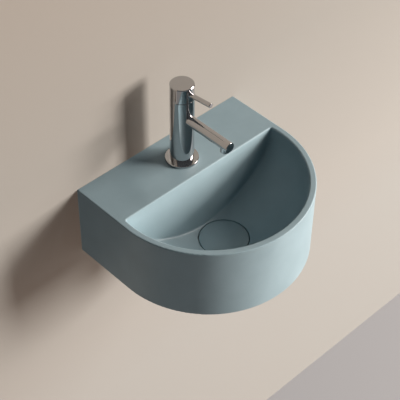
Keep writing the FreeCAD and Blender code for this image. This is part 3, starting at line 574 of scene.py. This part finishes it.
# %% Stud
STUD_FOOT = 17
STUD_TOP = 89
STUD_TIP = 3.3
STUD_ROOT = 3.4
STUD_PITCH = 1.25
STUD_TURNS = 56
PLAIN_END = 1
stud_thread = ridges(STUD_FOOT + PLAIN_END, STUD_PITCH, STUD_TURNS, STUD_ROOT, STUD_RADIUS, flat=(0.44, 0.56))
stud_end = [(STUD_ROOT, STUD_TOP - PLAIN_END), (STUD_ROOT, STUD_TOP), (0, STUD_TOP)]
stud = turn([(0, STUD_FOOT), (STUD_TIP, STUD_FOOT)] + stud_thread + stud_end, steps=48)
put(stud, y=STUD_Y)
fit(stud, "threaded_fixing_stud", "basin", "fixing_stud")

# %% [markdown]
# ## Washers under the basin
# The thick rubber ring is squeezed by the backnut, so its rim bulges. The thin acetal ring below it lets
# the nut turn without dragging the rubber along. Both are turned, the bulge as five points of the outline.

# %% Washers
WASHER_BORE = 21.1
WASHER_RADIUS = 30
GASKET_TOP = -56.5
GASKET_FOOT = -60.5
GASKET_MIDDLE = -58.5
# Height above the middle of the rubber ring, and how far its rim stays back there.
BULGE = [(-2, 0.5), (-1.3, 0.14), (0, 0), (1.3, 0.14), (2, 0.5)]
rim = [(WASHER_RADIUS - back, GASKET_MIDDLE + above) for above, back in BULGE]
gasket = turn([(WASHER_BORE, GASKET_FOOT)] + rim + [(WASHER_BORE, GASKET_TOP), (WASHER_BORE, GASKET_FOOT)])
put(gasket, y=WASTE_Y)
fit(gasket, "squeezed_rubber_gasket", "basin", "waste_lower_gasket")

slip = turn([
    (WASHER_BORE, BACKNUT_TOP), (WASHER_RADIUS, BACKNUT_TOP), (WASHER_RADIUS, GASKET_FOOT),
    (WASHER_BORE, GASKET_FOOT), (WASHER_BORE, BACKNUT_TOP)])
for height in (BACKNUT_TOP, GASKET_FOOT):
    round_ring(slip, WASHER_RADIUS, height, amount=0.4, segments=2)
put(slip, y=WASTE_Y)
fit(slip, "acetal_slip_ring", "basin", "waste_slip_washer")

# %% [markdown]
# ## Horseshoe clamp
# Below the deck, a steel horseshoe on a rubber one holds the mixer. Its shape is already in the solids, so
# each is a copy of its solid, merged from loose triangles into whole faces, with its sharp edges broken.
# Stamped steel has a radius of about 0.4 mm there, cut rubber a little more.

# %% Clamp
SHARP = math.radians(30)
FLAT = math.radians(0.5)


def soften(node, amount):
    """Copy of a solid's mesh in which the sharp edges are rounded by some millimetres."""
    shape = bmesh.new()
    shape.from_mesh(frame["nodes"][node].data)
    bmesh.ops.remove_doubles(shape, verts=shape.verts, dist=SAME_POINT)
    bmesh.ops.dissolve_limit(shape, angle_limit=FLAT, verts=shape.verts, edges=shape.edges)
    inside = [edge for edge in shape.edges if len(edge.link_faces) == 2]
    sharp = [edge for edge in inside if edge.calc_face_angle() > SHARP]
    bmesh.ops.bevel(shape, geom=sharp, affect="EDGES", offset=amount * MM, segments=3, profile=0.5,
                    material=-1)
    return shape


fit(soften("clamp_plate", amount=0.4), "steel_horseshoe", "basin", "clamp_plate")
fit(soften("clamp_rubber", amount=0.6), "rubber_horseshoe", "basin", "clamp_rubber")

# %% [markdown]
# ## Wall
# A plain painted wall stands right behind the basin. It exists only for the camera and for reflections, and
# only from its front: light and shadow rays pass it, so it throws no light on the basin, and the basin's
# back can be looked at too. Light that a real room would throw back at the wall is painted into it as a
# faint glow, and its paint is darker towards the top, a painted shade for light that falls off there.

# %% Wall paint
wall_paint = blank_material("wall_paint")
tree = wall_paint.node_tree
path = add(tree, "ShaderNodeLightPath")
side = add(tree, "ShaderNodeNewGeometry")
through = add(tree, "ShaderNodeMath", {
    0: path.outputs["Is Glossy Ray"], 1: path.outputs["Is Transmission Ray"]}, operation="MAXIMUM")
seen = add(tree, "ShaderNodeMath", {
    0: path.outputs["Is Camera Ray"], 1: through.outputs[0]}, operation="MAXIMUM")
front = add(tree, "ShaderNodeMath", {
    0: seen.outputs[0], 1: side.outputs["Backfacing"]}, operation="SUBTRACT", use_clamp=True)
# Painted shade: the paint goes from a cool grey near the floor to a darker brown high above the basin, for
# light that falls off towards the top.
place = add(tree, "ShaderNodeTexCoord").outputs["Object"]
rise = add(tree, "ShaderNodeSeparateXYZ", {0: place})
height = add(tree, "ShaderNodeMapRange", {"Value": rise.outputs["Z"], "From Min": -0.5, "From Max": 1.5})
painted_falloff = add(tree, "ShaderNodeValToRGB", {"Fac": height.outputs["Result"]})
painted_falloff.color_ramp.elements[0].color = linear("8C9392")
painted_falloff.color_ramp.elements[1].color = linear("7E7264")
paint = add(tree, "ShaderNodeBsdfDiffuse", {"Color": painted_falloff.outputs["Color"]})
clear = add(tree, "ShaderNodeBsdfTransparent")
# Painted light: the glow stands in for light thrown back by the floor and room. It is strongest low down,
# where the floor is near, and hardly lifts the shadow of the tap.
bounce = add(tree, "ShaderNodeMapRange", {
    "Value": rise.outputs["Z"], "From Min": -0.3, "From Max": 0.15, "To Min": 0.13, "To Max": 0.038})
painted_bounce_glow = add(tree, "ShaderNodeEmission", {"Color": linear("FFCCAA"), "Strength": bounce.outputs["Result"]})
lit = add(tree, "ShaderNodeAddShader", {0: paint.outputs[0], 1: painted_bounce_glow.outputs[0]})
shown = add(tree, "ShaderNodeMixShader", {0: front.outputs[0], 1: clear.outputs[0], 2: lit.outputs[0]})
add(tree, "ShaderNodeOutputMaterial", {"Surface": shown.outputs[0]})
print("made", wall_paint.name)

# %% [markdown]
# ## Floor
# A pale floor, which takes light and shadow like any other surface. From below it is clear, so that the
# underside of the basin can be looked at. Wall and floor are single faces.

# %% Floor paint, wall and floor
floor_paint = blank_material("floor_paint")
tree = floor_paint.node_tree
side = add(tree, "ShaderNodeNewGeometry")
paint = add(tree, "ShaderNodeBsdfDiffuse", {"Color": linear("ABAEB0")})
clear = add(tree, "ShaderNodeBsdfTransparent")
shown = add(tree, "ShaderNodeMixShader", {
    0: side.outputs["Backfacing"], 1: paint.outputs[0], 2: clear.outputs[0]})
add(tree, "ShaderNodeOutputMaterial", {"Surface": shown.outputs[0]})


def stage_plane(name, material, corners):
    """Flat stage piece from four corners in metres."""
    shape = bmesh.new()
    shape.faces.new([shape.verts.new(corner) for corner in corners])
    mesh = bpy.data.meshes.new(name)
    shape.to_mesh(mesh)
    shape.free()
    mesh.materials.append(material)
    plane = bpy.data.objects.new(name, mesh)
    bpy.context.scene.collection.objects.link(plane)


REACH = 6
FLOOR = -0.975
WALL_TOP = 5
# Half a millimetre behind the basin's back, so that the two faces don't share one place.
WALL_Y = 0.0005
stage_plane("wall", wall_paint, [
    (-REACH, WALL_Y, FLOOR), (REACH, WALL_Y, FLOOR), (REACH, WALL_Y, WALL_TOP), (-REACH, WALL_Y, WALL_TOP)])
stage_plane("floor", floor_paint, [
    (-REACH, -REACH, FLOOR), (REACH, -REACH, FLOOR), (REACH, REACH, FLOOR), (-REACH, REACH, FLOOR)])
print("floor", -FLOOR, "m below the wall-fixing holes")

# %% [markdown]
# ## Lamps
# The key stands low, 12.5 degrees above the basin and 43 degrees to the right of straight ahead, so that
# tap and basin throw long shadows to the left. It is far away and wide, which lights the wall evenly and
# keeps the shadows soft. A matt glaze glares when it is seen against so low a lamp, so the key isn't
# mirrored, and a twin that shows only on polished metal gives the chrome its streaks. A small fill from
# further right and above lifts the deck. The last lamp, low behind the wall, lights the back and the
# underside for views from there.

# %% Lamps
BASIN_MIDDLE = Vector((0, -0.12, 0.08))


def softbox(name, width, height, watts, tint, azimuth, elevation, distance):
    """Area lamp that looks at the basin; azimuth counts to the right from straight ahead."""
    data = bpy.data.lights.new(name, "AREA")
    data.shape = "RECTANGLE"
    data.size = width
    data.size_y = height
    data.energy = watts
    data.color = linear(tint)[:3]
    lamp = bpy.data.objects.new(name, data)
    bpy.context.scene.collection.objects.link(lamp)
    turn_by = math.radians(azimuth)
    rise_by = math.radians(elevation)
    level = math.cos(rise_by)
    toward = Vector((math.sin(turn_by) * level, -math.cos(turn_by) * level, math.sin(rise_by)))
    lamp.location = BASIN_MIDDLE + distance * toward
    lamp.rotation_mode = "QUATERNION"
    lamp.rotation_quaternion = toward.to_track_quat("Z", "Y")
    print(name, "at", [round(v, 2) for v in lamp.location])
    return lamp


KEY = {"width": 2.6, "height": 4.4, "watts": 2800, "tint": "FFEFE7",
       "azimuth": 43, "elevation": 12.5, "distance": 12}
key = softbox("key_softbox", **KEY)
key.visible_glossy = False
shine = softbox("shine_softbox", **KEY)
shine.visible_diffuse = False
polished = bpy.data.collections.new("polished_metal")
for item in bpy.context.scene.objects:
    if item.type == "MESH" and chrome.name in item.data.materials:
        polished.objects.link(item)
shine.light_linking.receiver_collection = polished

softbox("side_softbox", width=1.2, height=1.2, watts=64, tint="FFF0E8",
        azimuth=62, elevation=28, distance=3)
softbox("back_softbox", width=1.2, height=1.2, watts=40, tint="FFFFFF",
        azimuth=180, elevation=-20, distance=2.5)

# %% [markdown]
# ## Room
# The world is an even, dim room, which fills the shadows a little and is brightest overhead, as a room with
# a pale ceiling is. For a world, Generated coordinates are the direction in which a ray leaves, so Z says
# how far up it looks.

# %% Room
ROOM_BELOW = (0.018, 0.018, 0.018, 1)
ROOM_LEVEL = (0.038, 0.038, 0.038, 1)
ROOM_ABOVE = (0.14, 0.145, 0.15, 1)
world = bpy.data.worlds.new("room")
bpy.context.scene.world = world
world.use_nodes = True
tree = world.node_tree
tree.nodes.clear()
look = add(tree, "ShaderNodeTexCoord")
rise = add(tree, "ShaderNodeSeparateXYZ", {0: look.outputs["Generated"]})
level = add(tree, "ShaderNodeMapRange", {"Value": rise.outputs["Z"], "From Min": -1.0, "From Max": 1.0})
room = add(tree, "ShaderNodeValToRGB", {"Fac": level.outputs["Result"]})
room.color_ramp.elements[0].color = ROOM_BELOW
room.color_ramp.elements[1].color = ROOM_ABOVE
middle = room.color_ramp.elements.new(0.5)
middle.color = ROOM_LEVEL
air = add(tree, "ShaderNodeBackground", {"Color": room.outputs["Color"], "Strength": 1.0})
add(tree, "ShaderNodeOutputWorld", {"Surface": air.outputs[0]})
print("room", world.name)

# %% [markdown]
# ## Camera
# It looks down on the basin from the front left, with a long lens that keeps upright lines nearly parallel.
# Aiming by a point and a small roll is easier to read than three angles.

# %% Camera
ROLL = math.radians(0.879)
camera_data = bpy.data.cameras.new("camera")
camera_data.lens = 105.8
camera_data.sensor_width = 36
camera = bpy.data.objects.new("camera", camera_data)
bpy.context.scene.collection.objects.link(camera)
eye = Vector((-1.009, -1.1405, 1.4056))
target = Vector((-0.0489, -0.1540, 0.08))
turned_to = (target - eye).to_track_quat("-Z", "Y").to_matrix().to_4x4()
camera.matrix_world = Matrix.Translation(eye) @ turned_to @ Matrix.Rotation(ROLL, 4, "Z")
bpy.context.scene.camera = camera
bpy.context.scene.view_settings.view_transform = "Standard"
print("camera", [round(v, 3) for v in camera.location])
